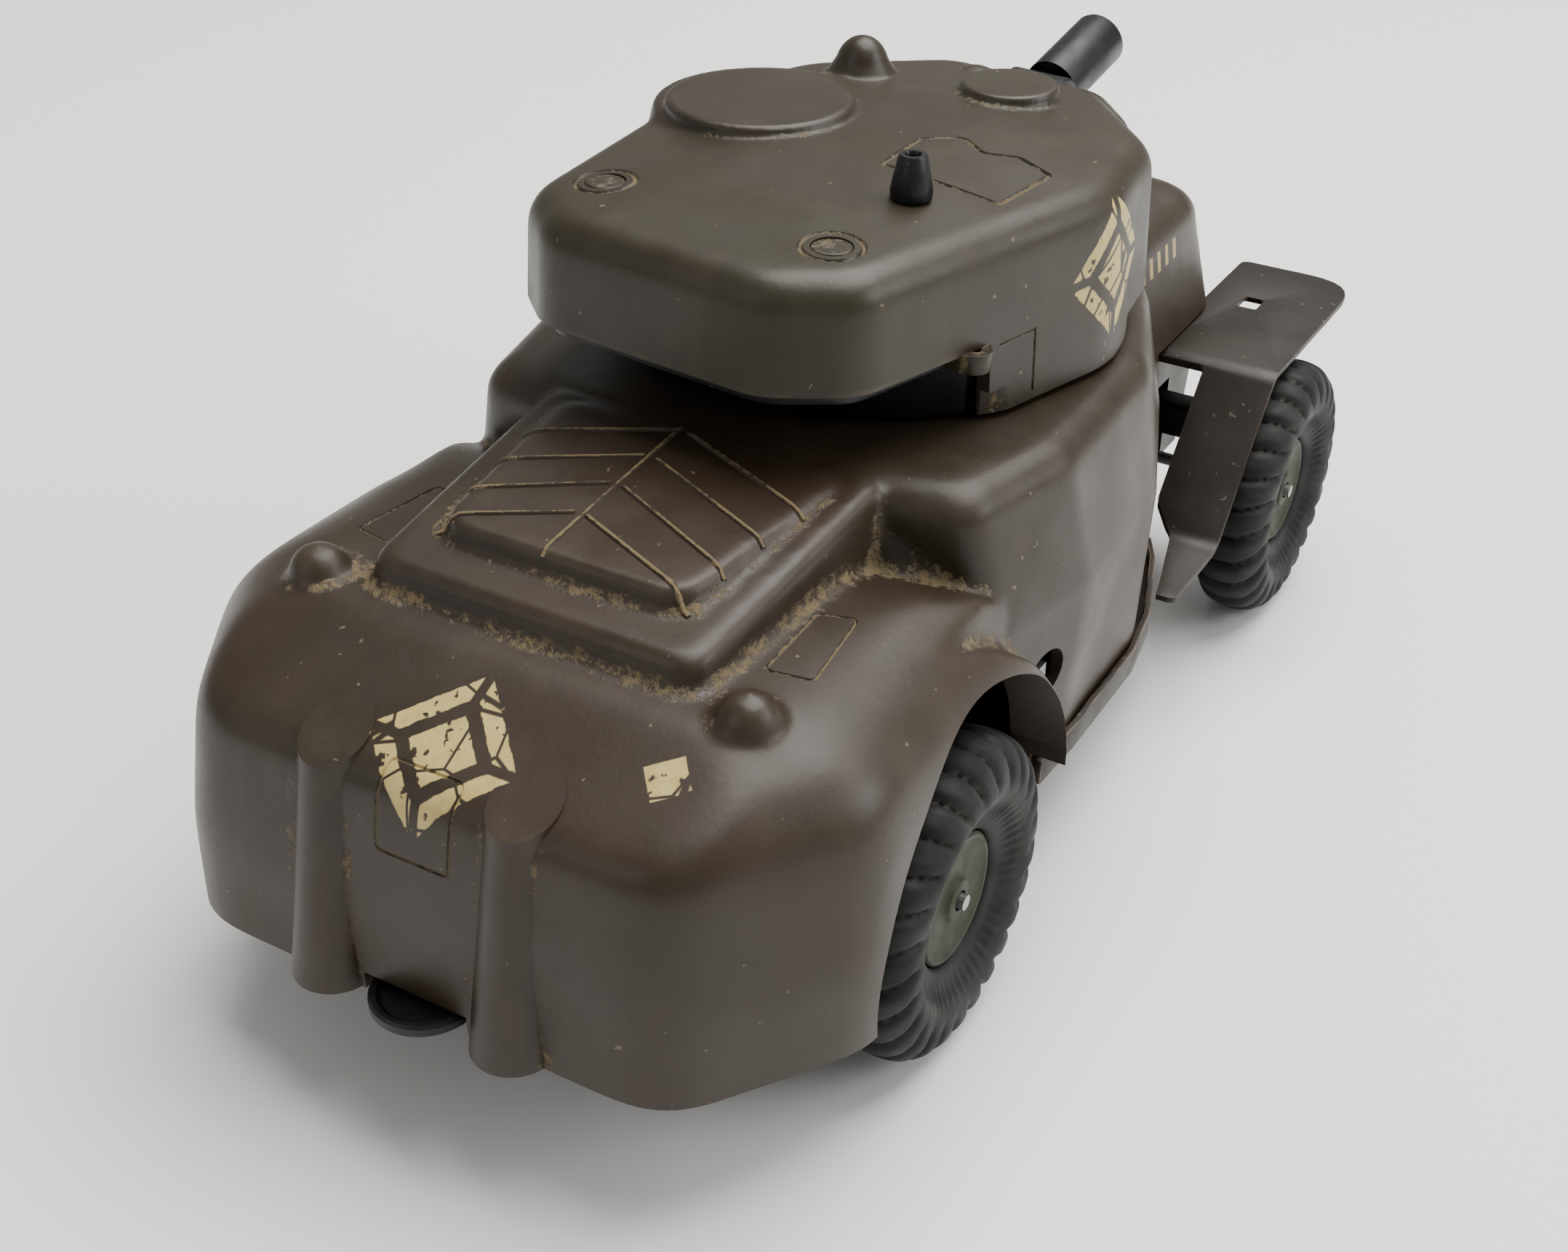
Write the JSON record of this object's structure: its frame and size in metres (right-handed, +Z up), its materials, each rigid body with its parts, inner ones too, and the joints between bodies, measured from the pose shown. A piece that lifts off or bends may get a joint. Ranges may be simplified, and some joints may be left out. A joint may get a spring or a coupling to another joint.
{
  "type": "toy armoured car",
  "caption": "Wind-up toy armoured car with a turning gun turret, elevating gun, sheet front fenders and rolling rubber-tyred wheels.",
  "frame": {"origin": "on the floor under the middle of the toy's length and width", "axes": "+X forward along the toy, +Y to its left, +Z up"},
  "size_m": [0.1816, 0.0844, 0.0852],
  "materials": {
    "olive_plastic": "worn semi-gloss, dusty in the creases",
    "maroon_tin": "worn semi-gloss paint",
    "black_plastic": "semi-gloss",
    "tyre_rubber": "matt, dusty",
    "hub_plastic": "worn satin",
    "steel": "dull bright",
    "spring_steel": "blued",
    "brass": "satin"
  },
  "bodies": {
    "hull": {"hull_shell": "olive_plastic", "base_plate": "maroon_tin", "front_fender_left": "maroon_tin", "front_fender_right": "maroon_tin", "rear_tow_tongue": "black_plastic", "front_axle_bracket": "black_plastic", "motor_plate_left": "steel", "motor_plate_right": "steel", "motor_pillar_front": "steel", "motor_pillar_rear": "steel", "motor_pillar_top": "steel", "mainspring": "spring_steel"},
    "rear_wheels": {"rear_axle": "steel", "rear_tyre_left": "tyre_rubber", "rear_hub_left": "hub_plastic", "rear_tyre_right": "tyre_rubber", "rear_hub_right": "hub_plastic", "drive_pinion": "brass"},
    "front_wheels": {"front_axle": "steel", "front_tyre_left": "tyre_rubber", "front_hub_left": "hub_plastic", "front_tyre_right": "tyre_rubber", "front_hub_right": "hub_plastic"},
    "winder": {"winding_arbor": "steel", "ratchet_wheel": "brass"},
    "turret": {"turret_shell": "olive_plastic", "turret_base": "olive_plastic", "turret_pivot": "black_plastic", "turret_retainer": "steel", "roof_plug_left": "olive_plastic", "roof_plug_right": "olive_plastic", "antenna_base": "black_plastic"},
    "gun": {"gun_barrel": "black_plastic", "gun_mantlet": "black_plastic", "gun_trunnion_pin": "steel"}
  },
  "joints": [
    {"name": "turret_turn", "type": "hinge", "parent": "hull", "child": "turret", "pos_m": [0.00625, 0, 0.058], "axis": [0, 0, 1], "continuous": true},
    {"name": "gun_elevate", "type": "hinge", "parent": "turret", "child": "gun", "pos_m": [0.04564, -0.00307, 0.0732], "axis": [-0.1028, -0.9947, 0], "range_deg": [-16, 8]},
    {"name": "rear_wheels_spin", "type": "hinge", "parent": "hull", "child": "rear_wheels", "pos_m": [-0.04525, 0, 0.0185], "axis": [0, 1, 0], "continuous": true},
    {"name": "front_wheels_spin", "type": "hinge", "parent": "hull", "child": "front_wheels", "pos_m": [0.06145, 0, 0.0185], "axis": [0, 1, 0], "continuous": true},
    {"name": "winder_turn", "type": "hinge", "parent": "hull", "child": "winder", "pos_m": [-0.01755, -0.03, 0.03], "axis": [0, -1, 0], "continuous": true}
  ]
}
